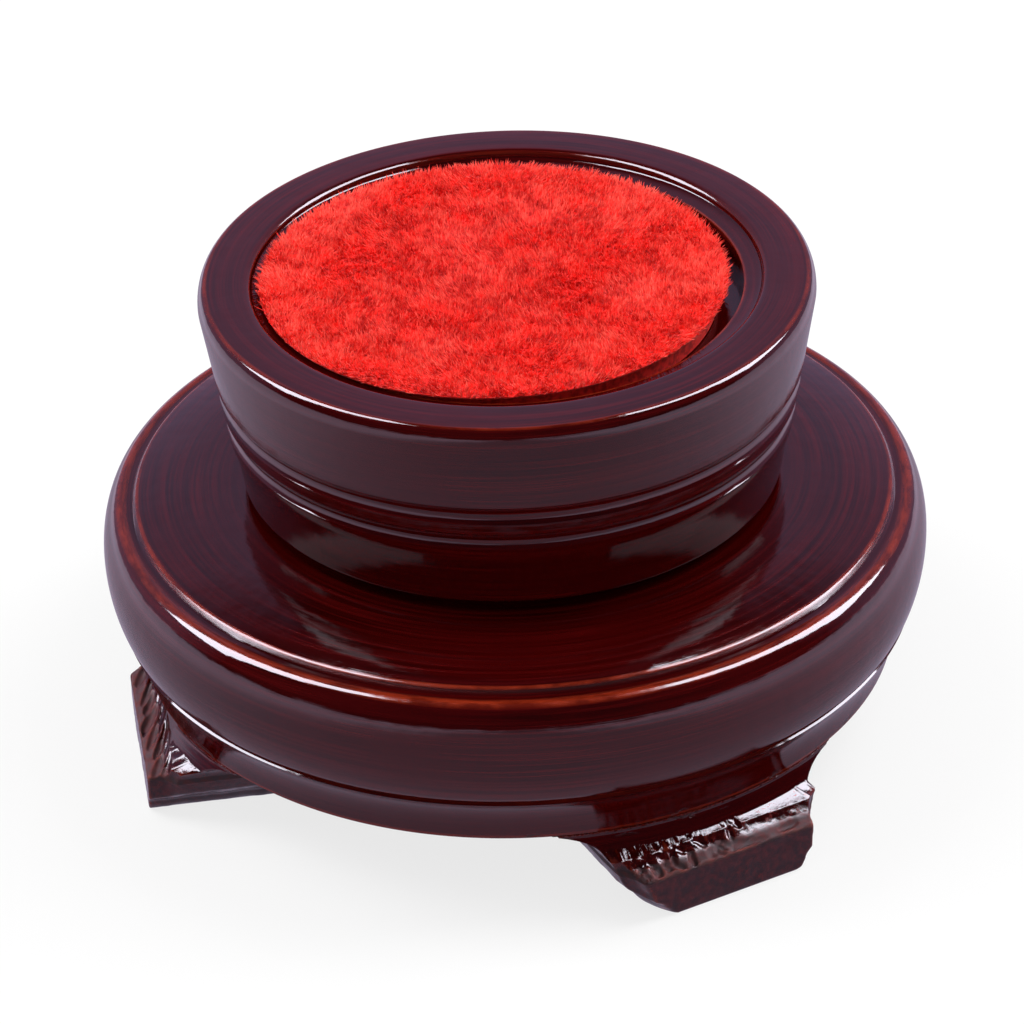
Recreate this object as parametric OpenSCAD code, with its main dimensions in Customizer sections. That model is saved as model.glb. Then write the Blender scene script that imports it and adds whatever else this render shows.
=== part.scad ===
// Turned wooden display stand with a revolving top.
// A tapered drum with a plush-lined recess turns on a thrust ball bearing
// in the middle of a wide, four-footed base. +Z is up and the feet stand on
// z = 0; the turning axis is the Z axis.

/* [Base] */
// Largest radius of the base, at the middle of its bulge
base_r = 65; // [64.6:0.2:65.4]
// Height of the base's largest radius above the ground
bulge_z = 31; // [30:0.5:32]
// Height of the plate at the foot of the drum
plate_z = 41.6; // [41.5:0.1:41.8]
// Drop of the plate from the drum out to its edge groove
plate_drop = 1.6; // [1.2:0.2:1.8]
// Radius of the plate's edge, inside the thin groove
plate_edge_r = 59.5; // [59:0.1:59.8]
// Radius of the rounded crest outside the groove
crest_r = 61.6; // [61.4:0.1:61.8]
// Height of the crest
crest_z = 39.0; // [38.8:0.1:39.4]
// Height of the joint between the base board and the skirt ring
joint_z = 21.6; // [21.4:0.1:22]
// Radius of the base board and the skirt ring at their joint
joint_r = 63; // [62.8:0.1:63.2]

/* [Skirt] */
// Height of the skirt's bottom face above the ground
skirt_z = 13; // [12.8:0.1:13.2]
// Radius of the skirt at its bottom edge
skirt_r = 60; // [59.8:0.1:60.2]
// Radius of the round opening under the base
skirt_hole_r = 36; // [34:1:38]

/* [Feet] */
// Angle of the front right foot from the front
front_right_angle = 51; // [49:1:53]
// Angle of the front left foot from the front, to the left
front_left_angle = 49.5; // [48:0.5:52]
// Angle of each rear foot from the front, to both sides
rear_foot_angle = 144; // [142:1:146]
// Turn of the front left foot out of square, as it was glued
left_foot_turn = 9.2; // [0:0.2:10]
// How much further in than the others the front left foot stands
left_foot_inset = 2.7; // [0:0.1:3]
// Distance of the toe's flat front face from the axis
toe_r = 66; // [65.6:0.2:66.4]
// Height of the toe's upper edge
toe_h = 7.8; // [7.4:0.2:8]
// Half width of the foot on the ground
toe_half_w = 11.8; // [11.4:0.2:12.2]
// Half width of the foot at the skirt
ankle_half_w = 24.5; // [24:0.5:25]
// Distance of the foot's back face from the axis
foot_back_r = 43; // [42:0.5:44]

/* [Drum] */
// Height of the stand's top face above the ground
top_z = 76.6; // [76.4:0.1:76.8]
// Largest radius of the drum, just below its rounded upper edge
drum_r = 47.5; // [47.2:0.1:47.8]
// Radius of the drum at its bottom edge
drum_foot_r = 42.7; // [42.4:0.1:43]
// Height of the drum's underside above the ground
drum_z = 43.6; // [43.5:0.1:43.8]
// Radius of the pad's well, inside the narrow ledge
recess_r = 36.4; // [36.3:0.1:36.6]
// Height of the recess floor above the ground
recess_z = 71.4; // [71.3:0.1:71.6]

/* [Pad] */
// Radius of the plush pad
pad_r = 36; // [35.5:0.1:36.1]
// Sideways offset of the pad in its recess, across the front
pad_shift_x = -1.8; // [-1.9:0.1:1.9]
// Sideways offset of the pad in its recess, front to back
pad_shift_y = -0.8; // [-0.9:0.1:0.9]
// Thickness of the fibreboard backing
backing_t = 1.0; // [0.8:0.1:1.2]
// Thickness of the foam layer
foam_t = 2.2; // [2:0.1:2.4]

/* [Bearing] */
// Bore radius of the thrust bearing's washers
race_bore_r = 7.5; // [7.4:0.1:7.6]
// Outer radius of the thrust bearing's washers
race_r = 14; // [13.9:0.1:14.1]
// Height of the complete bearing
bearing_h = 9; // [8.8:0.1:9]
// Thickness of each washer
race_t = 2.75; // [2.7:0.05:2.8]
// Radius of each ball
ball_r = 2.38; // [2.34:0.02:2.4]
// Number of balls
ball_count = 12; // [10:1:12]

/* [Pivot] */
// Radius of the pivot bolt's shank
bolt_r = 3; // [2.98:0.01:3]
// Radial running clearance between the bolt and its bush
bolt_clearance = 0.05; // [0.03:0.01:0.08]
// Outer radius of the bush
bush_r = 5; // [4.8:0.1:5.2]
// Width across the flats of the bolt's head and of both nuts
hex_af = 10; // [9.8:0.1:10]

/* [Hidden] */
$fn = 96;

wood = [0.27, 0.06, 0.05];
carved_wood = [0.24, 0.05, 0.04];
plush_red = [0.86, 0.10, 0.09];
foam_grey = [0.80, 0.79, 0.74];
fibre_brown = [0.45, 0.33, 0.22];
steel = [0.62, 0.63, 0.65];
bearing_steel = [0.75, 0.76, 0.78];
brass = [0.78, 0.60, 0.28];
beech = [0.78, 0.62, 0.42];

// Bearing and pivot heights, stacked up from the pocket in the plate
pocket_z = 38.4;
bearing_top_z = pocket_z + bearing_h;
ball_z = pocket_z + bearing_h / 2;
ball_circle_r = (race_bore_r + race_r) / 2;
groove_r = ball_r + 0.1;
cage_t = 1.2;
cage_in_r = 8;
cage_out_r = 13.4;
ball_hole_r = ball_r + 0.06;

// Bolt head, washers and nuts
head_pocket_r = 7.5;
head_pocket_z = joint_z + 6;
washer_r = 6;
washer_t = 1.6;
head_h = 4;
bolt_len = 45;
bolt_head_z = head_pocket_z - washer_t;
bolt_end_z = bolt_head_z + bolt_len;
jam_nut_h = 3.2;
nut_pocket_r = 9;
nut_pocket_z = 61.5;
flange_t = 1.2;
flange_r = 8;
axial_play = 0.1;
top_washer_z = nut_pocket_z + flange_t + axial_play;
lock_nut_z = top_washer_z + washer_t;
lock_nut_h = 6;

// Skirt screws and foot dowels
screw_r = 1.75;
screw_head_r = 3.6;
screw_head_h = 1.9;
screw_len = 18;
screw_circle_r = 49;
screw_angles = [0, 97.5, 180, 262.5];
dowel_r = 2.5;
dowel_half_gap = 9;
dowel_circle_r = 52;
dowel_z = 5.5;
dowel_top_z = 19.5;

// Where each foot is glued: its angle from the front, its turn out of square
// about the middle of its toe, and how far in from the others it stands
front_right_place = [front_right_angle, 0, 0];
front_left_place = [-front_left_angle, -left_foot_turn, left_foot_inset];
rear_right_place = [rear_foot_angle, 0, 0];
rear_left_place = [-rear_foot_angle, 0, 0];
foot_places = [front_right_place, front_left_place, rear_right_place, rear_left_place];

// Drum taper: radius of the straight wall at height z
wall_top_z = 73.9;
wall_slope = (drum_r - drum_foot_r) / (wall_top_z - drum_z);
function wall_r(z) = drum_foot_r + (z - drum_z) * wall_slope;

// Points of an elliptical arc in the (radius, height) plane
function arc(c, a, b, from, to, n) =
    [for (i = [0:n]) let (t = from + (to - from) * i / n) [c[0] + a * cos(t), c[1] + b * sin(t)]];

// Points of a smooth bend from p0 to p2 that leans towards p1
function bend(p0, p1, p2, n) =
    [for (i = [0:n]) let (t = i / n) (1 - t) * (1 - t) * p0 + 2 * t * (1 - t) * p1 + t * t * p2];

// A shallow cove turned into the wall between two heights, from the top down
cove_depth = 0.7;
function cove(z_top, z_low) =
    [for (i = [0:8]) let (t = i / 8, z = z_top + (z_low - z_top) * t)
        [wall_r(z) - cove_depth * sin(180 * t), z]];

// Turn about the Z axis, 0 degrees at the front, positive to the right
module at_angle(angle) {
    rotate([0, 0, angle]) children();
}

// Carry a foot, modelled square at the front, to its own place
module at_foot(place) {
    at_angle(place[0]) translate([0, place[2] - toe_r, 0])
        rotate([0, 0, place[1]]) translate([0, toe_r, 0]) children();
}

// ---- Pad ----

module pad_layer(radius, z_low, z_high) {
    translate([pad_shift_x, pad_shift_y, z_low]) cylinder(r = radius, h = z_high - z_low);
}

// The cover spreads over the ledge round the well; the layers under it fit inside the well
core_r = pad_r - 1.9;
foam_z = recess_z + backing_t;
cover_z = foam_z + foam_t;
spread_z = top_z - 1.3;

module plush_cover() {
    color(plush_red) union() {
        pad_layer(core_r, cover_z, spread_z + 0.2);
        pad_layer(pad_r, spread_z, top_z - 0.2);
    }
}

module pad_foam() {
    color(foam_grey) pad_layer(core_r, foam_z, cover_z);
}

module pad_backing() {
    color(fibre_brown) pad_layer(core_r, recess_z, foam_z);
}

// ---- Revolving drum ----

lip_r = 39.2;
lip_z = top_z - 1.7;
edge_flat_r = 46.2;
foot_round = 0.8;
cove_1_top = 62.4;
cove_1_low = 59.2;
cove_2_top = 57.4;
cove_2_low = 54.4;
band_low = 52.4;
band_step = 0.45;

// Outer outline of the drum, from the top face down to the underside
drum_outline = concat(
    arc([edge_flat_r, wall_top_z], drum_r - edge_flat_r, top_z - wall_top_z, 90, 0, 8),
    cove(cove_1_top, cove_1_low),
    cove(cove_2_top, cove_2_low),
    [[wall_r(band_low), band_low], [wall_r(band_low - 0.5) - band_step, band_low - 0.5]],
    arc([drum_foot_r - 0.3 - foot_round, drum_z + foot_round], foot_round, foot_round, 0, -90, 5)
);

// Well and ledge for the pad, with the nut pocket under them and the bush bore
drum_inside = [[race_r, drum_z], [race_r, bearing_top_z], [bush_r, bearing_top_z],
               [bush_r, nut_pocket_z], [nut_pocket_r, nut_pocket_z],
               [nut_pocket_r, recess_z], [recess_r, recess_z], [recess_r, lip_z - 0.1],
               [recess_r + 0.2, lip_z], [lip_r, lip_z + 0.3], [lip_r + 0.1, top_z - 0.7],
               [lip_r + 0.5, top_z - 0.2], [lip_r + 1.2, top_z]];

module drum() {
    color(wood) rotate_extrude() polygon(concat(drum_outline, drum_inside));
}

module pivot_bush() {
    bore_r = bolt_r + bolt_clearance;
    color(brass) rotate_extrude() polygon([
        [bore_r, bearing_top_z], [bush_r, bearing_top_z], [bush_r, nut_pocket_z],
        [flange_r, nut_pocket_z], [flange_r, nut_pocket_z + flange_t],
        [bore_r, nut_pocket_z + flange_t]]);
}

// ---- Thrust bearing ----

module race_blank(z) {
    translate([0, 0, z]) difference() {
        cylinder(r = race_r, h = race_t);
        translate([0, 0, -1]) cylinder(r = race_bore_r, h = race_t + 2);
    }
}

module ball_groove() {
    translate([0, 0, ball_z]) rotate_extrude() translate([ball_circle_r, 0]) circle(r = groove_r);
}

module upper_race() {
    color(bearing_steel) difference() {
        race_blank(bearing_top_z - race_t);
        ball_groove();
    }
}

module lower_race() {
    color(bearing_steel) difference() {
        race_blank(pocket_z);
        ball_groove();
    }
}

module around_ball_circle() {
    for (i = [0:ball_count - 1])
        rotate([0, 0, 360 * i / ball_count]) translate([ball_circle_r, 0, ball_z]) children();
}

module ball_cage() {
    color(brass) difference() {
        translate([0, 0, ball_z - cage_t / 2]) cylinder(r = cage_out_r, h = cage_t);
        translate([0, 0, ball_z - cage_t]) cylinder(r = cage_in_r, h = 2 * cage_t);
        around_ball_circle() cylinder(r = ball_hole_r, h = 2 * cage_t, center = true);
    }
}

module bearing_balls() {
    color(bearing_steel) around_ball_circle() sphere(r = ball_r);
}

// ---- Pivot bolt, washers and nuts ----

module hex_prism(z, h) {
    translate([0, 0, z]) cylinder(d = hex_af / cos(30), h = h, $fn = 6);
}

module ring_at(z, outer_r, inner_r, h) {
    translate([0, 0, z]) difference() {
        cylinder(r = outer_r, h = h);
        translate([0, 0, -1]) cylinder(r = inner_r, h = h + 2);
    }
}

module nut_at(z, h) {
    difference() {
        hex_prism(z, h);
        translate([0, 0, z - 1]) cylinder(r = bolt_r, h = h + 2);
    }
}

module pivot_bolt() {
    color(steel) union() {
        hex_prism(bolt_head_z - head_h, head_h);
        translate([0, 0, bolt_head_z - 0.5]) cylinder(r = bolt_r, h = bolt_len - 0.1);
        translate([0, 0, bolt_end_z - 0.6]) cylinder(r1 = bolt_r, r2 = bolt_r - 0.6, h = 0.6);
    }
}

module head_washer() {
    color(steel) ring_at(bolt_head_z, washer_r, bolt_r, washer_t);
}

module clamp_nut() {
    color(steel) nut_at(pocket_z, jam_nut_h);
}

module top_washer() {
    color(steel) ring_at(top_washer_z, washer_r, bolt_r, washer_t);
}

module lock_nut() {
    color(steel) nut_at(lock_nut_z, lock_nut_h);
}

// ---- Base ----

groove_mid_r = plate_edge_r + 0.9;
groove_depth = 1.0;
board_edge_z = plate_z - plate_drop;
seat_r = 44;

// Outer outline of the base board, from the plate over the crest to the joint
board_outline = concat(
    [[seat_r, plate_z], [plate_edge_r, board_edge_z], [groove_mid_r, board_edge_z - groove_depth]],
    arc([crest_r, bulge_z], base_r - crest_r, crest_z - bulge_z, 98, 0, 14),
    bend([base_r, bulge_z], [base_r, bulge_z - 5], [joint_r + 0.2, joint_z + 0.5], 8),
    [[joint_r - 0.4, joint_z]]
);

board_inside = [[head_pocket_r, joint_z], [head_pocket_r, head_pocket_z],
                [bolt_r, head_pocket_z], [bolt_r, pocket_z],
                [race_r, pocket_z], [race_r, plate_z]];

module base_board() {
    color(wood) difference() {
        rotate_extrude() polygon(concat(board_outline, board_inside));
        skirt_screw_set();
    }
}

skirt_outline = concat(
    [[joint_r - 0.4, joint_z]],
    bend([joint_r, joint_z - 0.4], [skirt_r + 0.4, joint_z - 3], [skirt_r, skirt_z + 0.4], 8),
    [[skirt_r - 0.4, skirt_z], [skirt_hole_r, skirt_z], [skirt_hole_r, joint_z]]
);

module skirt_ring() {
    color(wood) difference() {
        rotate_extrude() polygon(skirt_outline);
        skirt_screw_set();
        foot_dowel_set();
    }
}

// ---- Screws and dowels ----

module skirt_screw_set() {
    for (angle = screw_angles)
        at_angle(angle) translate([0, -screw_circle_r, skirt_z]) {
            cylinder(r1 = screw_head_r, r2 = screw_r, h = screw_head_h);
            cylinder(r = screw_r, h = screw_len - 3);
            translate([0, 0, screw_len - 3]) cylinder(r1 = screw_r, r2 = 0.3, h = 3);
        }
}

module skirt_screws() {
    color(steel) skirt_screw_set();
}

module foot_dowel_pair() {
    for (side = [-1, 1])
        translate([side * dowel_half_gap, -dowel_circle_r, dowel_z])
            cylinder(r = dowel_r, h = dowel_top_z - dowel_z);
}

module foot_dowel_set() {
    for (place = foot_places) at_foot(place) foot_dowel_pair();
}

module foot_dowels() {
    color(beech) foot_dowel_set();
}

// ---- Feet ----

toe_corner_w = 13.6;
toe_corner_z = 2.4;
toe_top_w = 14.5;
flank_w = 16.2;
flank_z = 4.8;
waist_w = 19.4;
waist_z = 8.8;
ledge_in_z = 8.6;

// Half of the foot seen from the front, from the ground up to the skirt
foot_side = concat(
    bend([toe_half_w, 0], [toe_corner_w - 0.4, 0.3], [toe_corner_w, toe_corner_z], 5),
    [[flank_w, flank_z]],
    bend([waist_w, waist_z], [waist_w + 0.2, skirt_z - 1], [ankle_half_w, skirt_z - 0.3], 6),
    [[ankle_half_w, skirt_z]]
);
foot_other_side = [for (i = [len(foot_side) - 1:-1:0]) [-foot_side[i][0], foot_side[i][1]]];

// The foot in section: back, toe, carved ledge and ankle
foot_section = [[foot_back_r, 0], [toe_r, 0], [toe_r, toe_h], [toe_r - 1.6, toe_h - 0.3],
                [toe_r - 3.8, toe_h], [toe_r - 5.2, ledge_in_z], [toe_r - 5.8, ledge_in_z + 1.4],
                [toe_r - 5.8, skirt_z], [foot_back_r, skirt_z]];

// Half of the foot seen from above: it narrows in front of the ankle
foot_plan = concat([[ankle_half_w + 1, foot_back_r - 1], [ankle_half_w + 1, toe_r - 5]],
    bend([waist_w - 0.2, toe_r - 5], [toe_top_w + 0.7, toe_r - 4], [toe_top_w, toe_r + 1], 6));
foot_other_plan = [for (i = [len(foot_plan) - 1:-1:0]) [-foot_plan[i][0], foot_plan[i][1]]];

module foot_block() {
    intersection() {
        rotate([180, 0, 0]) translate([0, 0, -skirt_z - 1]) linear_extrude(height = skirt_z + 2)
            polygon(concat(foot_plan, foot_other_plan));
        translate([0, -foot_back_r, 0]) rotate([90, 0, 0])
            linear_extrude(height = toe_r - foot_back_r) polygon(concat(foot_side, foot_other_side));
        rotate([0, 0, -90]) translate([0, ankle_half_w, 0]) rotate([90, 0, 0])
            linear_extrude(height = 2 * ankle_half_w) polygon(foot_section);
    }
}

module foot(place) {
    color(carved_wood) difference() {
        intersection() {
            at_foot(place) foot_block();
            union() {
                cylinder(r = skirt_r, h = skirt_z);
                cylinder(r = toe_r + 6, h = waist_z + 1.2);
            }
        }
        at_foot(place) foot_dowel_pair();
    }
}

module foot_front_right() {
    foot(front_right_place);
}

module foot_front_left() {
    foot(front_left_place);
}

module foot_rear_right() {
    foot(rear_right_place);
}

module foot_rear_left() {
    foot(rear_left_place);
}

plush_cover();
pad_foam();
pad_backing();
drum();
pivot_bush();
top_washer();
lock_nut();
upper_race();
ball_cage();
bearing_balls();
lower_race();
clamp_nut();
head_washer();
pivot_bolt();
base_board();
skirt_ring();
skirt_screws();
foot_dowels();
foot_front_right();
foot_front_left();
foot_rear_right();
foot_rear_left();
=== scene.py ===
"""Looks of the revolving display stand: turned and lacquered wood, carved feet and a plush pad."""

import math

import bpy
import numpy as np
from mathutils import Matrix, Vector, noise


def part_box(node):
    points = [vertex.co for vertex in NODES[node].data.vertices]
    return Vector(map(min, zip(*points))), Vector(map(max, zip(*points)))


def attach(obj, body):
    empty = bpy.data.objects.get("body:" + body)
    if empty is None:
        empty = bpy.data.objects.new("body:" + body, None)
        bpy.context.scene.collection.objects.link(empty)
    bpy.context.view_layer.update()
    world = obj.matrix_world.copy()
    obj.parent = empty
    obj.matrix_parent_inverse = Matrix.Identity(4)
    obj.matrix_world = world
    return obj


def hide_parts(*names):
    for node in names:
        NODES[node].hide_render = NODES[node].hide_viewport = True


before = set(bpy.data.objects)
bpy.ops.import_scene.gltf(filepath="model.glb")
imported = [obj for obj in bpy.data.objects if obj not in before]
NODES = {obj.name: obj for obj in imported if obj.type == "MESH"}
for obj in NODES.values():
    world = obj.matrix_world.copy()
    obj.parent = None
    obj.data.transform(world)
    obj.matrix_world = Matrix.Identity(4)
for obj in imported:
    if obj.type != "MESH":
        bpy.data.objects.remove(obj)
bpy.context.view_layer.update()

MM = 0.001

# ---- Sizes, in millimetres, from the frame ----


def low(node):
    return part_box(node)[0] / MM


def high(node):
    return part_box(node)[1] / MM


BASE_R = high("base_board").x
JOINT_Z = low("base_board").z
PLATE_Z = high("base_board").z
SKIRT_Z = low("skirt_ring").z
DRUM_R = high("drum").x
DRUM_Z = low("drum").z
TOP_Z = high("drum").z
RECESS_Z = low("pad_backing").z
PAD_LOW = low("plush_cover")
PAD_HIGH = high("plush_cover")
PAD_R = (PAD_HIGH.x - PAD_LOW.x) / 2
PAD_X = (PAD_HIGH.x + PAD_LOW.x) / 2
PAD_Y = (PAD_HIGH.y + PAD_LOW.y) / 2
PAD_CORE_R = (high("pad_foam").x - low("pad_foam").x) / 2
PAD_EDGE_Z = TOP_Z - 1.3
RACE_R = high("lower_race").x
POCKET_Z = low("lower_race").z
BEARING_TOP_Z = high("upper_race").z
BUSH_R = 5.0
NUT_POCKET_R = 9.0
NUT_POCKET_Z = 61.5
BOLT_R = 3.0
HEAD_POCKET_R = 7.5
HEAD_POCKET_Z = high("head_washer").z

# Base board
BULGE_Z = 31.0
PLATE_EDGE_R = 59.5
PLATE_EDGE_Z = PLATE_Z - 1.6
SEAT_R = 44.0
CREST_R = 61.6
CREST_Z = 39.0
GROOVE_R = 60.4
JOINT_R = 63.0

# Skirt
SKIRT_R = 60.0
SKIRT_HOLE_R = 36.0
SCREW_HEAD_R = 3.6
SCREW_CIRCLE_R = 49.0
SCREW_ANGLES = (0, 97.5, 180, 262.5)

# Drum
DRUM_FOOT_R = 42.7
EDGE_FLAT_R = 46.2
EDGE_Z = 73.9
COVES = ((62.4, 59.2), (57.4, 54.4))
COVE_DEPTH = 0.7
BAND_LOW = 52.4
BAND_STEP = 0.45
RECESS_R = 36.4
LIP_R = 39.2
LIP_Z = TOP_Z - 1.7

# Feet, modelled square at the front and then carried round to their places
TOE_R = 66.0
TOE_H = 7.8
FOOT_BACK_R = 43.0
ANKLE_HALF_W = 24.5
FOOT_VOXEL = 0.26
LEDGE_BACK_R = 60.9

# Pad
PAD_CLOTH = 0.24
PAD_DISH = 1.0
PILE_COUNT = 36000
PILE_TOP_Z = TOP_Z + 0.7
PILE_SEED = 7

# Camera: how far it stands from the axis and above the floor in metres, and which way it looks
CAMERA_AZIMUTH = math.radians(23.15)
CAMERA_DISTANCE = 9.681 * 65 * MM
CAMERA_HEIGHT = 6.625 * 65 * MM
CAMERA_TILT = math.radians(32.29)
CAMERA_ROLL = math.radians(-1.98)
CAMERA_PAN = 0.0006
CAMERA_LENS = 165.4

# Softboxes, in metres: each runs between two points right of, beyond and above the stand
LEFT_STRIP = ((-0.80, 0.13, 0.45), (-0.30, 0.02, 0.94))
RIGHT_STRIP = ((0.30, 0.02, 0.94), (0.80, 0.24, 0.42))
STRIP_WIDTH = 0.40
STRIP_GLOW = 20
STRIP_TINT = (0.90, 0.88, 1.0, 1.0)

LATHE_STEPS = 256
SMOOTH_ANGLE = 38
WELD = 0.01 * MM
LACQUER_IOR = 1.52


# ---- Outlines: lists of (radius, height) points ----


def arc(centre, a, b, start, end, count):
    """Points of an elliptical arc, angles in degrees."""
    angles = [math.radians(start + (end - start) * i / count) for i in range(count + 1)]
    return [(centre[0] + a * math.cos(t), centre[1] + b * math.sin(t)) for t in angles]


def bend(p0, p1, p2, count):
    """Points of a smooth bend from p0 to p2 that leans towards p1."""
    points = []
    for i in range(count + 1):
        t = i / count
        weights = ((1 - t) ** 2, 2 * t * (1 - t), t * t)
        points.append(tuple(sum(w * p[k] for w, p in zip(weights, (p0, p1, p2))) for k in (0, 1)))
    return points


def wall_r(z):
    """Radius of the drum's tapered wall at height z."""
    return DRUM_FOOT_R + (z - DRUM_Z) * (DRUM_R - DRUM_FOOT_R) / (EDGE_Z - DRUM_Z)


def cove(z_top, z_low, count=12):
    """A shallow round hollow turned into the wall, with steep sides."""
    points = []
    for i in range(count + 1):
        z = z_top + (z_low - z_top) * i / count
        points.append((wall_r(z) - COVE_DEPTH * math.sin(math.pi * i / count) ** 0.7, z))
    return points


def drum_outline():
    top_edge = arc((EDGE_FLAT_R, EDGE_Z), DRUM_R - EDGE_FLAT_R, TOP_Z - EDGE_Z, 90, 0, 14)
    step = [(wall_r(BAND_LOW), BAND_LOW), (wall_r(BAND_LOW - 0.5) - BAND_STEP, BAND_LOW - 0.5)]
    foot = arc((DRUM_FOOT_R - 1.1, DRUM_Z + 0.8), 0.8, 0.8, 0, -90, 6)
    hollow = [(RACE_R, DRUM_Z), (RACE_R, BEARING_TOP_Z), (BUSH_R, BEARING_TOP_Z), (BUSH_R, NUT_POCKET_Z),
              (NUT_POCKET_R, NUT_POCKET_Z), (NUT_POCKET_R, RECESS_Z), (RECESS_R, RECESS_Z)]
    lip = [(RECESS_R, LIP_Z - 0.12), (RECESS_R + 0.06, LIP_Z - 0.03), (RECESS_R + 0.2, LIP_Z)]
    ledge = bend((RECESS_R + 0.8, LIP_Z + 0.06), (LIP_R - 0.2, LIP_Z + 0.25), (LIP_R, LIP_Z + 0.6), 5)
    shoulder = bend((LIP_R + 0.05, LIP_Z + 0.9), (LIP_R + 0.25, TOP_Z), (LIP_R + 1.5, TOP_Z), 8)
    return top_edge + cove(*COVES[0]) + cove(*COVES[1]) + step + foot + hollow + lip + ledge + shoulder


def board_outline():
    plate = [(RACE_R, PLATE_Z), (SEAT_R, PLATE_Z), (PLATE_EDGE_R - 0.3, PLATE_EDGE_Z + 0.02)]
    groove = [(PLATE_EDGE_R, PLATE_EDGE_Z - 0.2), (GROOVE_R - 0.25, PLATE_EDGE_Z - 1.0),
              (GROOVE_R + 0.15, PLATE_EDGE_Z - 1.05)]
    crest = arc((CREST_R, BULGE_Z), BASE_R - CREST_R, CREST_Z - BULGE_Z, 100, 0, 22)
    bulge = bend((BASE_R, BULGE_Z), (BASE_R, BULGE_Z - 5), (JOINT_R + 0.2, JOINT_Z + 0.5), 12)
    inside = [(JOINT_R - 0.5, JOINT_Z), (HEAD_POCKET_R, JOINT_Z), (HEAD_POCKET_R, HEAD_POCKET_Z),
              (BOLT_R, HEAD_POCKET_Z), (BOLT_R, POCKET_Z), (RACE_R, POCKET_Z)]
    return plate + groove + crest + bulge + inside


def skirt_outline():
    flare = bend((JOINT_R, JOINT_Z - 0.4), (SKIRT_R + 0.4, JOINT_Z - 3), (SKIRT_R, SKIRT_Z + 0.3), 14)
    under = [(SKIRT_R - 0.02, SKIRT_Z + 0.12), (SKIRT_R - 0.14, SKIRT_Z), (SKIRT_HOLE_R + 0.4, SKIRT_Z),
             (SKIRT_HOLE_R, SKIRT_Z + 0.4), (SKIRT_HOLE_R, JOINT_Z)]
    return [(JOINT_R - 0.5, JOINT_Z)] + flare + under


# ---- Modelling helpers ----


def add_object(name, data):
    made = bpy.data.objects.new(name, data)
    bpy.context.scene.collection.objects.link(made)
    return made


def select_only(piece):
    bpy.ops.object.select_all(action="DESELECT")
    piece.select_set(True)
    bpy.context.view_layer.objects.active = piece


def draw_outline(name, points):
    """A chain of edges through points in millimetres, drawn by extruding one vertex; left in edit mode."""
    bpy.ops.object.select_all(action="DESELECT")
    bpy.ops.mesh.primitive_plane_add(size=MM)
    piece = bpy.context.object
    piece.name = piece.data.name = name
    bpy.ops.object.mode_set(mode="EDIT")
    bpy.ops.mesh.select_all(action="SELECT")
    bpy.ops.mesh.merge(type="CENTER")
    bpy.ops.transform.translate(value=Vector(points[0]) * MM)
    for here, there in zip(points, points[1:]):
        step = (Vector(there) - Vector(here)) * MM
        bpy.ops.mesh.extrude_vertices_move(TRANSFORM_OT_translate={"value": step})
    return piece


def turn_on_lathe(name, outline, steps=LATHE_STEPS, smooth_angle=SMOOTH_ANGLE):
    """A turned solid: its closed outline, spun about the Z axis."""
    points = [(r, 0, z) for r, z in outline + outline[:1]]
    piece = draw_outline(name, points)
    bpy.ops.mesh.select_all(action="SELECT")
    bpy.ops.mesh.remove_doubles(threshold=WELD)
    bpy.ops.mesh.spin(steps=steps, angle=2 * math.pi, center=(0, 0, 0), axis=(0, 0, 1))
    bpy.ops.mesh.select_all(action="SELECT")
    bpy.ops.mesh.remove_doubles(threshold=WELD)
    bpy.ops.mesh.normals_make_consistent(inside=False)
    bpy.ops.object.mode_set(mode="OBJECT")
    select_only(piece)
    bpy.ops.object.shade_smooth_by_angle(angle=math.radians(smooth_angle))
    return piece


def prism(name, points, depth):
    """The flat outline through the points, extruded by depth, both in millimetres."""
    piece = draw_outline(name, points)
    bpy.ops.mesh.select_all(action="SELECT")
    bpy.ops.mesh.edge_face_add()
    bpy.ops.mesh.extrude_region_move(TRANSFORM_OT_translate={"value": Vector(depth) * MM})
    bpy.ops.mesh.select_all(action="SELECT")
    bpy.ops.mesh.normals_make_consistent(inside=False)
    bpy.ops.object.mode_set(mode="OBJECT")
    return piece


def cut(piece, tool, operation):
    """Applies a Boolean of tool to piece, and removes the tool."""
    select_only(piece)
    modifier = piece.modifiers.new(operation.title(), "BOOLEAN")
    modifier.object = tool
    modifier.operation = operation
    modifier.solver = "EXACT"
    bpy.ops.object.modifier_apply(modifier=modifier.name)
    bpy.data.objects.remove(tool)


def apply_modifier(piece, kind, **settings):
    select_only(piece)
    modifier = piece.modifiers.new(kind.title(), kind)
    for name, value in settings.items():
        setattr(modifier, name, value)
    bpy.ops.object.modifier_apply(modifier=modifier.name)


def points_of(piece):
    """The piece's vertices in millimetres, as rows of a table."""
    table = np.empty(len(piece.data.vertices) * 3, np.float32)
    piece.data.vertices.foreach_get("co", table)
    return table.reshape(-1, 3).astype(float) / MM


def move_points(piece, table):
    piece.data.vertices.foreach_set("co", (table * MM).astype(np.float32).ravel())
    piece.data.update()


def finish_piece(piece, body, slot, material, *replaced):
    """Gives the piece its finish, hangs it under its body and hides the parts it replaces."""
    piece.data.materials.clear()
    piece.data.materials.append(material)
    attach(piece, body)
    if replaced:
        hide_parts(*replaced)


# ---- Shader helpers ----


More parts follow.
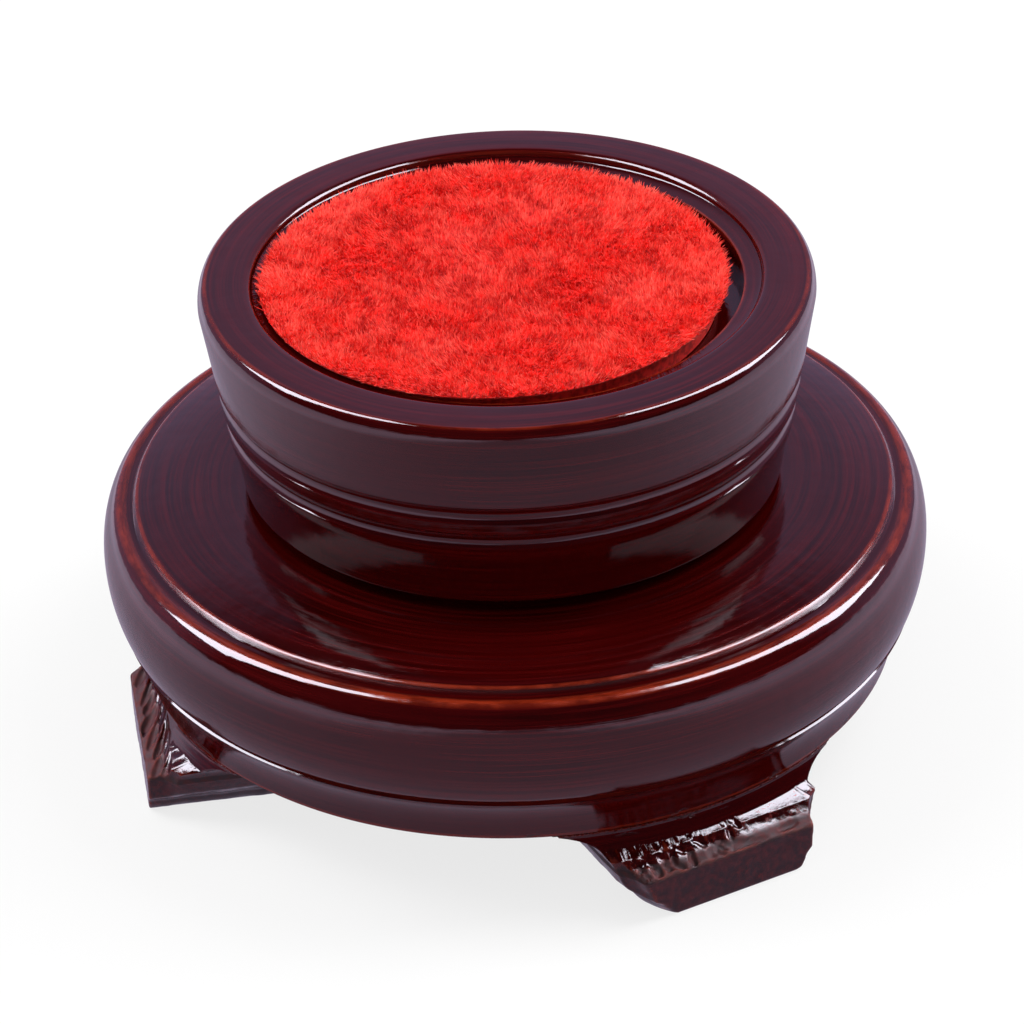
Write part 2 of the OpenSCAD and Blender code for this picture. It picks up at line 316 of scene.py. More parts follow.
class Wire:
    """One output of a node. Arithmetic on it adds Math nodes."""

    def __init__(self, paint, socket):
        self.paint, self.socket = paint, socket

    def math(self, operation, *values):
        return self.paint.node("ShaderNodeMath", {"operation": operation}, dict(enumerate(values)))

    def __add__(self, other):
        return self.math("ADD", self, other)

    def __sub__(self, other):
        return self.math("SUBTRACT", self, other)

    def __rsub__(self, other):
        return self.math("SUBTRACT", other, self)

    def __mul__(self, other):
        return self.math("MULTIPLY", self, other)

    def __truediv__(self, other):
        return self.math("DIVIDE", self, other)

    def __pow__(self, other):
        return self.math("POWER", self, other)

    __radd__ = __add__
    __rmul__ = __mul__

    def clamped(self):
        return self.paint.node("ShaderNodeClamp", {}, {"Value": self})

    def smooth(self, start, end):
        """0 below start, 1 above end, and a smooth step between."""
        return self.paint.node("ShaderNodeMapRange", {"interpolation_type": "SMOOTHSTEP"},
                               {"Value": self, "From Min": start, "From Max": end})


class Paint:
    """A node material or the world, built by adding nodes."""

    def __init__(self, owner):
        owner.use_nodes = True
        self.owner, self.tree = owner, owner.node_tree
        self.tree.nodes.clear()

    def node(self, kind, settings, inputs, output=0):
        """Adds a node: its settings first, then the values or wires of its sockets."""
        made = self.tree.nodes.new(kind)
        for name, value in settings.items():
            setattr(made, name, value)
        for name, value in inputs.items():
            if isinstance(value, Wire):
                self.tree.links.new(value.socket, made.inputs[name])
            else:
                made.inputs[name].default_value = value
        return Wire(self, made.outputs[output]) if made.outputs else None

    def place(self):
        """Object coordinates, in millimetres."""
        here = self.node("ShaderNodeTexCoord", {}, {}, "Object")
        return self.node("ShaderNodeVectorMath", {"operation": "SCALE"}, {0: here, "Scale": 1 / MM})

    def split(self, vector):
        parts = self.node("ShaderNodeSeparateXYZ", {}, {0: vector}).socket.node
        return [Wire(self, parts.outputs[i]) for i in range(3)]

    def join(self, x, y, z):
        return self.node("ShaderNodeCombineXYZ", {}, {0: x, 1: y, 2: z})

    def noise(self, vector, scale, detail=3.0, roughness=0.55):
        return self.node("ShaderNodeTexNoise", {},
                         {"Vector": vector, "Scale": scale, "Detail": detail, "Roughness": roughness})

    def blend(self, factor, low, high):
        """A colour between two colours."""
        made = self.tree.nodes.new("ShaderNodeMix")
        made.data_type = "RGBA"
        made.clamp_factor = True
        for name, value in (("Factor_Float", factor), ("A_Color", low), ("B_Color", high)):
            socket = next(s for s in made.inputs if s.identifier == name)
            if isinstance(value, Wire):
                self.tree.links.new(value.socket, socket)
            else:
                socket.default_value = value
        return Wire(self, next(s for s in made.outputs if s.identifier == "Result_Color"))

    def bump(self, height, distance, strength=1.0, normal=None):
        inputs = {"Height": height, "Distance": distance, "Strength": strength}
        if normal:
            inputs["Normal"] = normal
        return self.node("ShaderNodeBump", {}, inputs)

    def light_path(self, *outputs):
        path = self.node("ShaderNodeLightPath", {}, {}).socket.node
        return [Wire(self, path.outputs[name]) for name in outputs]

    def facing(self, vector, direction):
        """How far the vector points along a direction of the frame."""
        return self.node("ShaderNodeVectorMath", {"operation": "DOT_PRODUCT"},
                         {0: vector, 1: direction}, "Value")

    def glow(self, kind, tint, strength):
        """Light of its own: an Emission or a Background node."""
        return self.node("ShaderNode" + kind, {}, {"Color": tint, "Strength": strength})

    def mix(self, factor, first, second):
        return self.node("ShaderNodeMixShader", {}, {0: factor, 1: first, 2: second})

    def finish(self, surface, kind="Material"):
        self.node("ShaderNodeOutput" + kind, {}, {"Surface": surface})
        return self.owner

    def surface(self, **inputs):
        """A Principled surface; the names of its sockets have underscores for spaces."""
        sockets = {name.replace("_", " "): value for name, value in inputs.items()}
        return self.finish(self.node("ShaderNodeBsdfPrincipled", {}, sockets))


def new_paint(name):
    return Paint(bpy.data.materials.new(name))


def colour(r, g, b):
    return (r, g, b, 1.0)


# ---- Finishes ----

# Arrises where the lacquer is rubbed thin: (radius, height, half width, strength)
WORN_ARRISES = (
    (CREST_R + 0.3, CREST_Z, 1.15, 1.0),
    (PLATE_EDGE_R - 0.2, PLATE_EDGE_Z, 0.45, 0.9),
    (EDGE_FLAT_R + 0.15, TOP_Z, 0.45, 0.55),
    (RECESS_R + 0.1, LIP_Z, 0.35, 0.9),
    (LIP_R + 0.4, TOP_Z - 0.5, 0.5, 0.25),
    (JOINT_R, JOINT_Z + 0.2, 0.55, 0.7),
    (SKIRT_R, SKIRT_Z + 0.2, 0.5, 0.5),
)


def worn_arrises(paint, radius, z, breakup):
    """Where the thin lacquer on the turned arrises lets the orange ground show."""
    total = None
    for ring_r, ring_z, width, strength in WORN_ARRISES:
        dr = radius - ring_r
        dz = z - ring_z
        near = (1 - (dr * dr + dz * dz) / (width * width)).clamped() * strength
        total = near if total is None else total + near
    return (total * (0.35 + breakup.smooth(0.35, 0.62) * 0.75)).clamped()


def turned_wood(paint):
    """Colour, roughness and height of dark mahogany lacquer over wood turned in fine lines."""
    place = paint.place()
    x, y, z = paint.split(place)
    radius = (x * x + y * y) ** 0.5
    across = z + radius * 0.6
    lines = paint.noise(paint.join(x * 0.02, y * 0.02, across * 2.6), 1.0, 4.0, 0.7)
    fine = paint.noise(paint.join(x * 0.05, y * 0.05, across * 11.0), 1.0, 2.0)
    cloud = paint.noise(place, 0.05, 3.0)
    breakup = paint.noise(paint.join(x * 0.16, y * 0.16, across * 2.2), 1.0, 3.0, 0.7)
    wood = paint.blend(lines.smooth(0.36, 0.68), colour(0.018, 0.0003, 0.0003), colour(0.060, 0.0012, 0.0012))
    wood = paint.blend(cloud.smooth(0.35, 0.7) * 0.7, wood, colour(0.034, 0.0004, 0.0005))
    worn = worn_arrises(paint, radius, z, breakup)
    wood = paint.blend(worn, wood, colour(0.20, 0.017, 0.004))
    # The lacquer is dull in the groove round the plate
    from_groove = radius - GROOVE_R + 0.3
    dulled = (1 - from_groove * from_groove * 1.8).clamped() * z.smooth(PLATE_Z - 2.5, PLATE_Z - 2.0)
    rough = 0.055 + lines.smooth(0.45, 0.8) * 0.11 + worn * 0.1 + dulled * 0.3
    height = lines * 0.6 + fine * 0.4
    # Skips in the lacquer where the feet are glued on
    from_joint = z - SKIRT_Z
    at_joint = (1 - from_joint * from_joint * 0.55).clamped() * radius.smooth(SKIRT_R - 1.2, SKIRT_R - 0.4)
    skips = paint.noise(paint.join(x * 0.14, y * 0.14, z * 0.5), 1.0, 3.0, 0.75).smooth(0.60, 0.64) * at_joint
    wood = paint.blend(skips, wood, colour(0.030, 0.0003, 0.0003))
    return wood, rough + skips * 0.5, height - skips * 4


def turned_lacquer():
    paint = new_paint("turned_lacquer")
    wood, rough, height = turned_wood(paint)
    ridges = paint.bump(height, 0.012 * MM)
    waves = paint.bump(paint.noise(paint.place(), 0.16, 2.0), 0.10 * MM, 1.0, ridges)
    return paint.surface(Base_Color=wood, Roughness=rough, IOR=LACQUER_IOR, Normal=waves)


def carved_lacquer():
    """Lacquer pooled over gouge-cut wood, thin and orange on the arrises, with a smooth ankle."""
    paint = new_paint("carved_lacquer")
    place = paint.place()
    x, y, z = paint.split(place)
    radius = (x * x + y * y) ** 0.5
    smooth_wood, smooth_rough, smooth_height = turned_wood(paint)
    grain = paint.noise(place, 0.9, 4.0, 0.65)
    spots = paint.noise(place, 0.35, 3.0)
    ridge = paint.node("ShaderNodeNewGeometry", {}, {}, "Pointiness").smooth(0.502, 0.56)
    wood = paint.blend(grain.smooth(0.35, 0.7), colour(0.014, 0.0004, 0.0004), colour(0.055, 0.0018, 0.0012))
    worn = (ridge * spots.smooth(0.35, 0.6)).clamped()
    wood = paint.blend(worn * 0.8, wood, colour(0.15, 0.016, 0.006))
    dull_low_ledge = (1 - z.smooth(8.3, 8.9)) * z.smooth(7.0, 7.4)
    rough = 0.08 + grain.smooth(0.4, 0.75) * 0.14 + dull_low_ledge * 0.6
    ankle = z.smooth(9.8, 10.6) * radius.smooth(SKIRT_R - 1.4, SKIRT_R - 0.5)
    pits = paint.bump(grain * (1 - ankle), 0.05 * MM)
    lines = paint.bump(smooth_height * ankle, 0.012 * MM, 1.0, pits)
    return paint.surface(
        Base_Color=paint.blend(ankle, wood, smooth_wood),
        Roughness=rough * (1 - ankle) + smooth_rough * ankle,
        IOR=LACQUER_IOR, Normal=lines)


def plush(name, with_pile):
    """Bright red plush; on the pile the roots are darker as painted shade and the tips lighter as painted
    light.
    """
    paint = new_paint(name)
    place = paint.place()
    crush = paint.noise(place, 0.30, 3.0, 0.6)
    tufts = paint.noise(place, 1.1, 2.0)
    patch = (crush * 0.5 + tufts * 0.5).smooth(0.38, 0.58)
    # deep, for the cloth and the pile's roots, and bright, for the tips: the step between them is painted
    # shade and painted light
    deep = paint.blend(patch, colour(0.48, 0.004, 0.003), colour(0.92, 0.020, 0.014))
    bright = paint.blend(patch, colour(0.92, 0.030, 0.020), colour(1.0, 0.150, 0.105))
    shade = deep
    if with_pile:
        # The pile's tint: random tone plus painted shade at the roots and painted light at the tips and
        # towards the rim
        tint = paint.node("ShaderNodeAttribute", {"attribute_name": "pile_tone_and_painted_light"}, {}, "Fac")
        shade = paint.blend(tint, deep, bright)
    return paint.surface(Base_Color=shade, Roughness=0.85, Specular_IOR_Level=0.15,
                         Sheen_Weight=0.15, Sheen_Roughness=0.4, Sheen_Tint=colour(1.0, 0.45, 0.40))


def metal(name, dark, light, roughness, scale=1.2):
    """Plated, ground or turned metal with slightly uneven colour and gloss."""
    paint = new_paint(name)
    place = paint.place()
    cloud = paint.noise(place, scale, 4.0, 0.6)
    tone = paint.blend(cloud.smooth(0.35, 0.7), dark, light)
    rough = roughness + cloud * 0.12
    marks = paint.bump(paint.noise(place, scale * 4, 2.0), 0.01 * MM)
    return paint.surface(Base_Color=tone, Metallic=1.0, Roughness=rough, Normal=marks)


def raw_board(name, dark, light, scale, stretch):
    """Bare wood, fibreboard or foam, with its fibres along X."""
    paint = new_paint(name)
    x, y, z = paint.split(paint.place())
    fibre = paint.noise(paint.join(x * stretch, y, z), scale, 5.0, 0.65)
    tone = paint.blend(fibre.smooth(0.3, 0.7), dark, light)
    return paint.surface(Base_Color=tone, Roughness=0.7 + fibre * 0.2, Normal=paint.bump(fibre, 0.08 * MM))


# ---- Turned pieces ----


def make_drum(finish):
    piece = turn_on_lathe("drum_turned", drum_outline())
    finish_piece(piece, "turntable", "lacquered_wood", finish, "drum")


def make_base_board(finish):
    piece = turn_on_lathe("base_board_turned", board_outline())
    finish_piece(piece, "base", "lacquered_wood", finish, "base_board")


def make_skirt_ring(finish):
    piece = turn_on_lathe("skirt_ring_turned", skirt_outline())
    for angle in SCREW_ANGLES:
        t = math.radians(angle)
        spot = Vector((math.sin(t), -math.cos(t), 0)) * SCREW_CIRCLE_R * MM
        bpy.ops.object.select_all(action="DESELECT")
        bpy.ops.mesh.primitive_cone_add(
            vertices=32, radius1=SCREW_HEAD_R * 1.08 * MM, radius2=1.9 * MM, depth=2.4 * MM,
            location=(spot.x, spot.y, (SKIRT_Z + 0.9) * MM))
        cut(piece, bpy.context.object, "DIFFERENCE")
    select_only(piece)
    bpy.ops.object.shade_smooth_by_angle(angle=math.radians(SMOOTH_ANGLE))
    finish_piece(piece, "base", "lacquered_wood", finish, "skirt_ring")


# ---- Carved feet ----


def foot_front_outline():
    """Half widths of the foot at rising heights, mirrored into a closed outline."""
    side = bend((11.8, 0), (13.2, 0.3), (13.6, 2.4), 5) + [(16.2, 4.8)]
    side += bend((17.6, 8.8), (18.6, SKIRT_Z - 1), (ANKLE_HALF_W, SKIRT_Z - 0.2), 10)
    side += [(ANKLE_HALF_W, SKIRT_Z)]
    return side + [(-w, z) for w, z in reversed(side)]


def foot_plan():
    """Half widths of the foot from its back to its toe, which is narrower than the ankle."""
    side = [(ANKLE_HALF_W + 1, FOOT_BACK_R - 1), (ANKLE_HALF_W + 1, TOE_R - 5)]
    side += bend((18.2, TOE_R - 5), (15.2, TOE_R - 4), (14.5, TOE_R + 1), 10)
    return side + [(-w, r) for w, r in reversed(side)]


def foot_section():
    """The foot cut from back to toe, with its ledge sloping up to the ankle."""
    ledge = bend((TOE_R - 0.3, TOE_H), (TOE_R - 2.4, TOE_H + 0.7), (TOE_R - 4.2, TOE_H + 2.7), 8)
    return ([(FOOT_BACK_R, 0), (TOE_R, 0), (TOE_R, TOE_H - 0.3)] + ledge
            + [(TOE_R - 5.0, SKIRT_Z - 1.2), (TOE_R - 5.8, SKIRT_Z), (FOOT_BACK_R, SKIRT_Z)])


def add_stroke(depth, w, r, start, angle, length, width, deepest):
    """One gouge stroke: a long scoop centred on start, given as (w, r), deepest along its middle."""
    along = (w - start[0]) * math.cos(angle) + (r - start[1]) * math.sin(angle)
    side = -(w - start[0]) * math.sin(angle) + (r - start[1]) * math.cos(angle)
    scoop = deepest * (1 - (side / width) ** 2 - (along / length) ** 4)
    np.maximum(depth, scoop, out=depth)


def pecked(w, r, seed):
    """A ledge cleaned with short pecks at one end and a few long strokes near the toe."""
    draw = np.random.default_rng(seed)
    depth = np.zeros_like(w)
    for _ in range(46):
        start = (draw.uniform(-17, 3), draw.uniform(61.4, 65.6))
        add_stroke(depth, w, r, start, draw.uniform(0.6, 2.2), draw.uniform(0.8, 1.9),
                   draw.uniform(0.45, 0.8), draw.uniform(0.3, 0.75))
    for _ in range(5):
        start = (draw.uniform(-6, 12), draw.uniform(64.4, 65.4))
        add_stroke(depth, w, r, start, draw.normal(0, 0.2), draw.uniform(1.5, 4), draw.uniform(0.4, 0.7), 0.4)
    return depth


def fluted(w, r, seed):
    """A ledge cleared with a few long slanting strokes that leave ridges between them."""
    draw = np.random.default_rng(seed)
    depth = np.zeros_like(w)
    for i in range(8):
        start = (-15 + 4.1 * i + draw.normal(0, 0.4), 62.4 + draw.normal(0, 0.3))
        add_stroke(depth, w, r, start, 0.42 + draw.normal(0, 0.08), draw.uniform(5.5, 8),
                   draw.uniform(0.9, 1.3), draw.uniform(0.75, 1.15))
    return depth


def uneven(spot, size):
    """A small wandering offset, in millimetres."""
    broad, fine = (np.array(noise.noise_vector(spot * scale)) for scale in (0.35, 1.1))
    return broad * size + fine * size * 0.3


def carve(piece, strokes, seed, cut_corner):
    """Gouge strokes on the ledge, a cut-back lower corner on one side and the unevenness of hand work."""
    table = points_of(piece)
    w, r, z = table[:, 0].copy(), -table[:, 1].copy(), table[:, 2].copy()
    on_ledge = (np.clip((z - 5.0) / 1.4, 0, 1) * np.clip((r - LEDGE_BACK_R) / 0.8, 0, 1)
                * np.clip((11.2 - z) / 0.8, 0, 1))
    table[:, 2] -= strokes(w, r, seed) * on_ledge * np.clip((TOE_R - 0.1 - r) / 0.5, 0.15, 1)
    low_part = np.clip(1 - z / TOE_H, 0, 1)
    near_toe = np.clip((r - (TOE_R - 7)) / 7, 0, 1) ** 2
    table[:, 0] += cut_corner * near_toe * low_part * np.clip((-w - 5) / 8, 0, 1)
    # The sole, the joint with the skirt and the ankle's front stay true
    by_hand = (z > 0.3) & ((z < 10.0) | (r < 59) & (z < SKIRT_Z - 0.3))
    for i in np.nonzero(by_hand)[0]:
        table[i] += uneven(Vector((w[i], r[i], z[i])), 0.13)
    table[:, 1] = np.maximum(table[:, 1], -TOE_R)
    table[:, 2] = np.clip(table[:, 2], 0, SKIRT_Z)
    move_points(piece, table)


def make_foot(node, place, strokes, seed, cut_corner, finish):
    angle, turn, inset = place
    piece = prism(node + "_carved", [(w, -FOOT_BACK_R, z) for w, z in foot_front_outline()],
                  (0, FOOT_BACK_R - TOE_R, 0))
    section = prism("section", [(-ANKLE_HALF_W - 1, -r, z) for r, z in foot_section()],
                    (2 * ANKLE_HALF_W + 2, 0, 0))
    cut(piece, section, "INTERSECT")
    plan = prism("plan", [(w, -r, -1) for w, r in foot_plan()], (0, 0, SKIRT_Z + 2))
    cut(piece, plan, "INTERSECT")
    apply_modifier(piece, "REMESH", mode="VOXEL", voxel_size=FOOT_VOXEL * MM, adaptivity=0.0)
    apply_modifier(piece, "SMOOTH", factor=0.5, iterations=3)
    carve(piece, strokes, seed, cut_corner)
    apply_modifier(piece, "SMOOTH", factor=0.5, iterations=1)
    piece.matrix_world = (
        Matrix.Rotation(math.radians(angle), 4, "Z")
        @ Matrix.Translation((0, (inset - TOE_R) * MM, 0))
        @ Matrix.Rotation(math.radians(turn), 4, "Z")
        @ Matrix.Translation((0, TOE_R * MM, 0)))
    select_only(piece)
    bpy.ops.object.transform_apply(location=True, rotation=True, scale=True)
    meet_skirt(piece)
    bpy.ops.object.shade_smooth()
    finish_piece(piece, "base", "carved_wood", finish, node)


def meet_skirt(piece):
    """Brings the ankle flush with the skirt, above the ledge."""
    table = points_of(piece)
    radius = np.hypot(table[:, 0], table[:, 1])
    limit = SKIRT_R + 0.02 + np.clip(SKIRT_Z - table[:, 2] - 0.6, 0, 99) * 0.55 + (table[:, 2] < 10) * 9
    table[:, :2] *= np.minimum(1, limit / radius)[:, None]
    table[:, 2] = np.where(table[:, 2] > SKIRT_Z - 0.3, SKIRT_Z, table[:, 2])
    move_points(piece, table)


# ---- Plush pad ----


def pad_surface(r):
    """Height of the pad's backing cloth at radius r from the pad's centre: dished, with a rolled edge."""
    share = np.clip(r / PAD_R, 0, 1)
    rolled = 0.5 * np.clip((share - 0.94) / 0.06, 0, 1) ** 2
    return PAD_HIGH.z - 0.25 - PAD_DISH * (1 - share ** 2) ** 1.3 - rolled


def make_pad(finish):
    """The cover under the pile: dished, its rolled edge on the ledge, and wrapped down round the foam."""
    radii = [0.02] + [PAD_R * i / 24 for i in range(1, 24)]
    radii += [PAD_R * share for share in (0.975, 0.99, 0.998)]
    outline = [(r, float(pad_surface(np.array(r)))) for r in radii]
    wrap_r = PAD_CORE_R + PAD_CLOTH
    outline += [(PAD_R, PAD_EDGE_Z + 0.35), (PAD_R - 0.15, PAD_EDGE_Z + 0.05), (PAD_R - 0.8, PAD_EDGE_Z),
                (wrap_r, PAD_EDGE_Z - 0.5), (wrap_r, RECESS_Z + 0.2), (PAD_CORE_R + 0.02, RECESS_Z + 0.2),
                (PAD_CORE_R + 0.02, PAD_LOW.z), (0.02, PAD_LOW.z)]
    piece = turn_on_lathe("plush_pad", outline, steps=96, smooth_angle=60)
    table = points_of(piece)
    for i, (x, y, z) in enumerate(table):
        if z > PAD_EDGE_Z + 0.3:
            table[i, 2] += 0.14 * noise.noise(Vector((x, y, 0)) * 0.14)
    table[:, 0] += PAD_X
    table[:, 1] += PAD_Y
    move_points(piece, table)
    finish_piece(piece, "turntable", "red_plush", finish, "plush_cover")


def lean_field(x, y):
    """Which way the pile lies at each point: slowly changing crush marks."""
    lean = np.empty((len(x), 2))
    for i in range(len(x)):
        spot = Vector((x[i] * 0.11, y[i] * 0.11, 3.0))
        whirl = noise.noise_vector(spot) + noise.noise_vector(spot * 3.1) * 0.6
        lean[i] = (whirl.x, whirl.y)
    return lean


def make_pile(finish):
    """The pile: thousands of short tapered tufts that lean together in patches, and outward at the edge."""
    draw = np.random.default_rng(PILE_SEED)
    index = np.arange(PILE_COUNT)
    r = (PAD_R - 0.05) * np.sqrt((index + 0.5) / PILE_COUNT)
    turn = index * math.pi * (3 - math.sqrt(5)) + draw.normal(0, 0.02, PILE_COUNT)
    x = r * np.cos(turn) + draw.normal(0, 0.05, PILE_COUNT)
    y = r * np.sin(turn) + draw.normal(0, 0.05, PILE_COUNT)
    edge = np.clip((r / PAD_R - 0.93) / 0.07, 0, 1)
    root = np.stack([x, y, pad_surface(np.hypot(x, y)) - 0.12], 1)
    lean = lean_field(x, y)
    outward = np.stack([x, y], 1) / np.maximum(r, 1e-6)[:, None]
    way = np.column_stack([
        lean * 1.05 + draw.normal(0, 0.30, (PILE_COUNT, 2)) + outward * edge[:, None] * 1.0,
        np.ones(PILE_COUNT)])
    way /= np.linalg.norm(way, axis=1)[:, None]
    clump = np.array([0.85 * noise.noise(Vector((a * 1.15, b * 1.15, 9.0)))
                      + 0.35 * noise.noise(Vector((a * 0.3, b * 0.3, 3.0))) for a, b in zip(x, y)])
    length = draw.uniform(0.95, 1.40, PILE_COUNT) * (1 + 0.55 * clump)
    tip = root + way * length[:, None]
    thick = draw.uniform(0.13, 0.20, PILE_COUNT)
    spin = draw.uniform(0, 2 * math.pi, PILE_COUNT)
    corners = []
    for k in range(3):
        a = spin + k * 2 * math.pi / 3
        corners.append(root + np.stack([np.cos(a) * thick, np.sin(a) * thick, 0 * a], 1))
    points = np.stack(corners + [tip], 1).reshape(-1, 3) + (PAD_X, PAD_Y, 0)
    points[:, 2] = np.minimum(points[:, 2], PILE_TOP_Z)
    faces = np.array([(0, 1, 3), (1, 2, 3), (2, 0, 3), (0, 2, 1)])
    faces = (faces[None] + 4 * index[:, None, None]).reshape(-1, 3)
    mesh = bpy.data.meshes.new("plush_pile")
    mesh.from_pydata((points * MM).tolist(), [], faces.tolist())
    # The pile's tint: random tone and clumps, plus painted light: the root corners darker as painted shade
    # between the tufts, the tips lighter, and lighter towards the rim as painted light on the dished pad
    tint = np.zeros((PILE_COUNT, 4))
    rim_painted_light = np.clip((r / PAD_R - 0.55) / 0.35, 0, 1)
    tint[:, :3] = np.clip(draw.uniform(0.0, 0.3, PILE_COUNT) + 0.6 * clump + 0.25 * rim_painted_light, 0, 1)[:, None]
    tint[:, 3] = np.clip(draw.uniform(0.1, 0.9, PILE_COUNT) + 1.3 * clump + 0.35 * rim_painted_light, 0, 1)
    layer = mesh.attributes.new("pile_tone_and_painted_light", "FLOAT", "POINT")
    layer.data.foreach_set("value", tint.astype(np.float32).ravel())
    map_points(mesh, points)
    finish_piece(add_object("plush_pile", mesh), "turntable", "red_plush", finish)


def map_points(mesh, points):
    """A UV map for baking, laid out as the pile is seen from above."""
    span = 2 * PAD_R + 4
    flat = (points[:, :2] - (PAD_X, PAD_Y)) / span + 0.5
    corner = np.empty(len(mesh.loops), np.int32)
    mesh.loops.foreach_get("vertex_index", corner)
    layer = mesh.uv_layers.new(name="OFBake")
    layer.uv.foreach_set("vector", flat[corner].astype(np.float32).ravel())


# ---- Camera, light and stage ----


def to_frame(x, y, z):
    """A point given as right of, beyond and above the stand, as the camera sees it."""
    c, s = math.cos(CAMERA_AZIMUTH), math.sin(CAMERA_AZIMUTH)
    return Vector((c * x - s * y, s * x + c * y, z))


def make_camera():
    data = bpy.data.cameras.new("camera")
    data.lens = CAMERA_LENS
    data.sensor_width = 36
    data.clip_start, data.clip_end = 0.05, 20
    camera = add_object("camera", data)
    right = to_frame(1, 0, 0)
    up = to_frame(0, math.sin(CAMERA_TILT), math.cos(CAMERA_TILT))
    c, s = math.cos(CAMERA_ROLL), math.sin(CAMERA_ROLL)
    x_axis, y_axis = right * c + up * s, up * c - right * s
    turn = Matrix((x_axis, y_axis, x_axis.cross(y_axis))).transposed()
    camera.matrix_world = (Matrix.Translation(to_frame(0, -CAMERA_DISTANCE, CAMERA_HEIGHT))
                           @ Matrix.Rotation(CAMERA_PAN, 4, "Z") @ turn.to_4x4())
    bpy.context.scene.camera = camera


def strip_turn(start, end):
    """Middle, length and turn of a strip that runs from start to end and faces the stand."""
    start, end = to_frame(*start), to_frame(*end)
    middle = (start + end) / 2
    along = (end - start).normalized()
    away = middle - Vector((0, 0, 0.05))
    away = (away - along * away.dot(along)).normalized()
    turn = Matrix((along, away.cross(along), away)).transposed()
    return middle, (end - start).length, turn


def add_lamp(name, start, end, watts):
    """The light of a softbox, which reflections don't show."""
    middle, length, turn = strip_turn(start, end)
    data = bpy.data.lights.new(name, "AREA")
    data.shape = "RECTANGLE"
    data.size, data.size_y = length, STRIP_WIDTH
    data.energy = watts
    lamp = add_object(name, data)
    lamp.matrix_world = Matrix.Translation(middle) @ turn.to_4x4()
    lamp.visible_glossy = False


def add_softbox_front(name, start, end):
    """The front of a softbox, which only reflections show, and second reflections more dimly."""
    middle, length, turn = strip_turn(start, end)
    bpy.ops.object.select_all(action="DESELECT")
    bpy.ops.mesh.primitive_plane_add(size=1)
    front = bpy.context.object
    front.name = name
    front.matrix_world = (Matrix.Translation(middle) @ turn.to_4x4()
                          @ Matrix.Diagonal((length, STRIP_WIDTH, 1, 1)))
    for ray in ("camera", "diffuse", "shadow", "transmission", "volume_scatter"):
        setattr(front, "visible_" + ray, False)
    paint = new_paint(name)
    depth, = paint.light_path("Glossy Depth")
    dimmed = 1 - depth.smooth(1.2, 1.8) * 0.85
    front.data.materials.append(paint.finish(paint.glow("Emission", STRIP_TINT, dimmed * STRIP_GLOW)))


def make_floor():
    """Pale to the camera with a faint shadow; in reflections, dimmer in front of the stand than beside it."""
    bpy.ops.object.select_all(action="DESELECT")
    bpy.ops.mesh.primitive_circle_add(vertices=96, radius=3, fill_type="NGON")
    floor = bpy.context.object
    floor.name = "floor"
    paint = new_paint("floor_white")
    camera, glossy = paint.light_path("Is Camera Ray", "Is Glossy Ray")
    place = paint.node("ShaderNodeTexCoord", {}, {}, "Object")
    sideways = paint.facing(place, to_frame(1, 0, 0))
    side_glow = (sideways * sideways).smooth(0.0, 0.04)
    lit = paint.node("ShaderNodeBsdfDiffuse", {}, {"Color": colour(0.82, 0.82, 0.82)})
    white = paint.glow("Emission", colour(1, 1, 1), 1.0)
    mirrored = paint.glow("Emission", colour(0.86, 0.74, 1.0), 0.46 + side_glow * 0.95)
    seen = paint.mix(glossy, paint.mix(camera * 0.78, lit, white), mirrored)
    floor.data.materials.append(paint.finish(seen))


def make_world():
    """White to the camera, soft grey light, and in reflections a pale wall behind and a dark room."""
    world = bpy.data.worlds.new("studio")
    bpy.context.scene.world = world
    paint = Paint(world)
    toward = paint.node("ShaderNodeTexCoord", {}, {}, "Generated")
    behind = paint.facing(toward, to_frame(0, 1, 0))
    height = paint.split(toward)[2]
    wall = behind.smooth(-0.15, 0.35) * (1 - height.smooth(0.60, 0.85))
    mirrored = paint.glow("Background", colour(0.70, 0.60, 1.0), 0.03 + wall * 0.46)
    soft = paint.glow("Background", colour(1, 1, 1), 0.55)
    white = paint.glow("Background", colour(1, 1, 1), 1.0)
    camera, glossy = paint.light_path("Is Camera Ray", "Is Glossy Ray")
    paint.finish(paint.mix(camera, paint.mix(glossy, soft, mirrored), white), "World")


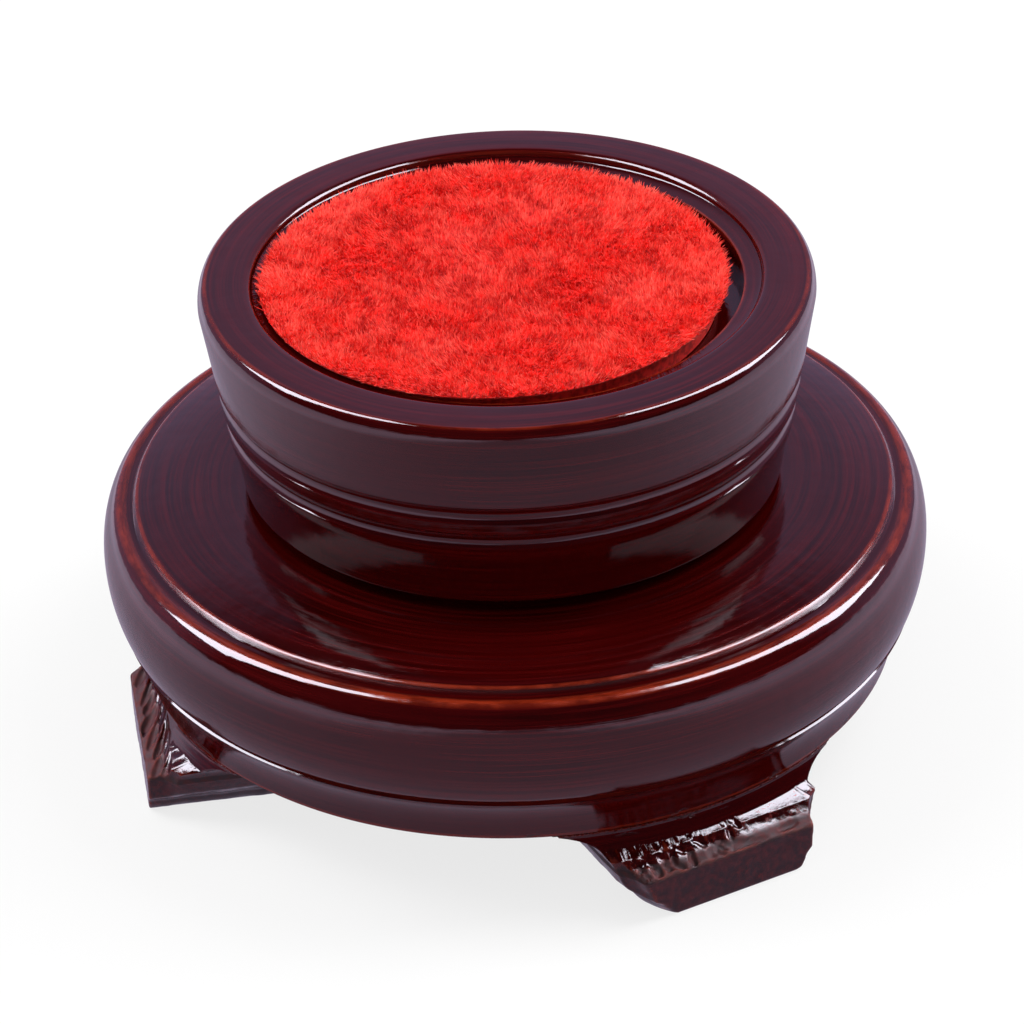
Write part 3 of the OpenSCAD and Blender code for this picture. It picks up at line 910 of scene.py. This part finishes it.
def make_stage():
    make_camera()
    make_floor()
    make_world()
    add_lamp("left_light", *LEFT_STRIP, 5.0)
    add_lamp("right_light", *RIGHT_STRIP, 6.0)
    add_softbox_front("left_softbox", *LEFT_STRIP)
    add_softbox_front("right_softbox", *RIGHT_STRIP)
    bpy.context.scene.view_settings.view_transform = "Standard"


# ---- The whole stand ----

# Each foot: its angle from the front, turn out of square and inset; how its ledge was carved; its cut corner
FEET = {
    "foot_front_right": ((51.0, 0.0, 0.0), pecked, 3.2),
    "foot_front_left": ((-49.5, -9.2, 2.7), fluted, 1.0),
    "foot_rear_right": ((144.0, 0.0, 0.0), fluted, 1.6),
    "foot_rear_left": ((-144.0, 0.0, 0.0), pecked, 2.2),
}

HARDWARE_FINISHES = {
    "zinc_steel": (("pivot_bolt", "head_washer", "clamp_nut", "top_washer", "lock_nut", "skirt_screws"),
                   metal("zinc_steel", colour(0.42, 0.43, 0.46), colour(0.62, 0.63, 0.66), 0.28)),
    "bearing_steel": (("upper_race", "lower_race", "bearing_balls"),
                      metal("bearing_steel", colour(0.55, 0.56, 0.58), colour(0.72, 0.73, 0.75), 0.14)),
    "brass": (("pivot_bush", "ball_cage"),
              metal("brass", colour(0.56, 0.38, 0.13), colour(0.72, 0.52, 0.22), 0.25)),
    "beech": (("foot_dowels",),
              raw_board("beech", colour(0.46, 0.30, 0.16), colour(0.62, 0.44, 0.26), 0.8, 0.1)),
    "foam": (("pad_foam",),
             raw_board("foam", colour(0.55, 0.54, 0.48), colour(0.72, 0.71, 0.65), 1.6, 1.0)),
    "fibreboard": (("pad_backing",),
                   raw_board("fibreboard", colour(0.22, 0.14, 0.07), colour(0.36, 0.25, 0.14), 1.2, 0.4)),
}

make_stage()
for nodes, material in HARDWARE_FINISHES.values():
    for node in nodes:
        NODES[node].data.materials.clear()
        NODES[node].data.materials.append(material)

turned = turned_lacquer()
carved = carved_lacquer()
make_drum(turned)
make_base_board(turned)
make_skirt_ring(turned)
for seed, (node, (place, strokes, cut_corner)) in enumerate(FEET.items()):
    make_foot(node, place, strokes, 11 + seed, cut_corner, carved)
make_pad(plush("plush_cloth", False))
make_pile(plush("plush_pile", True))
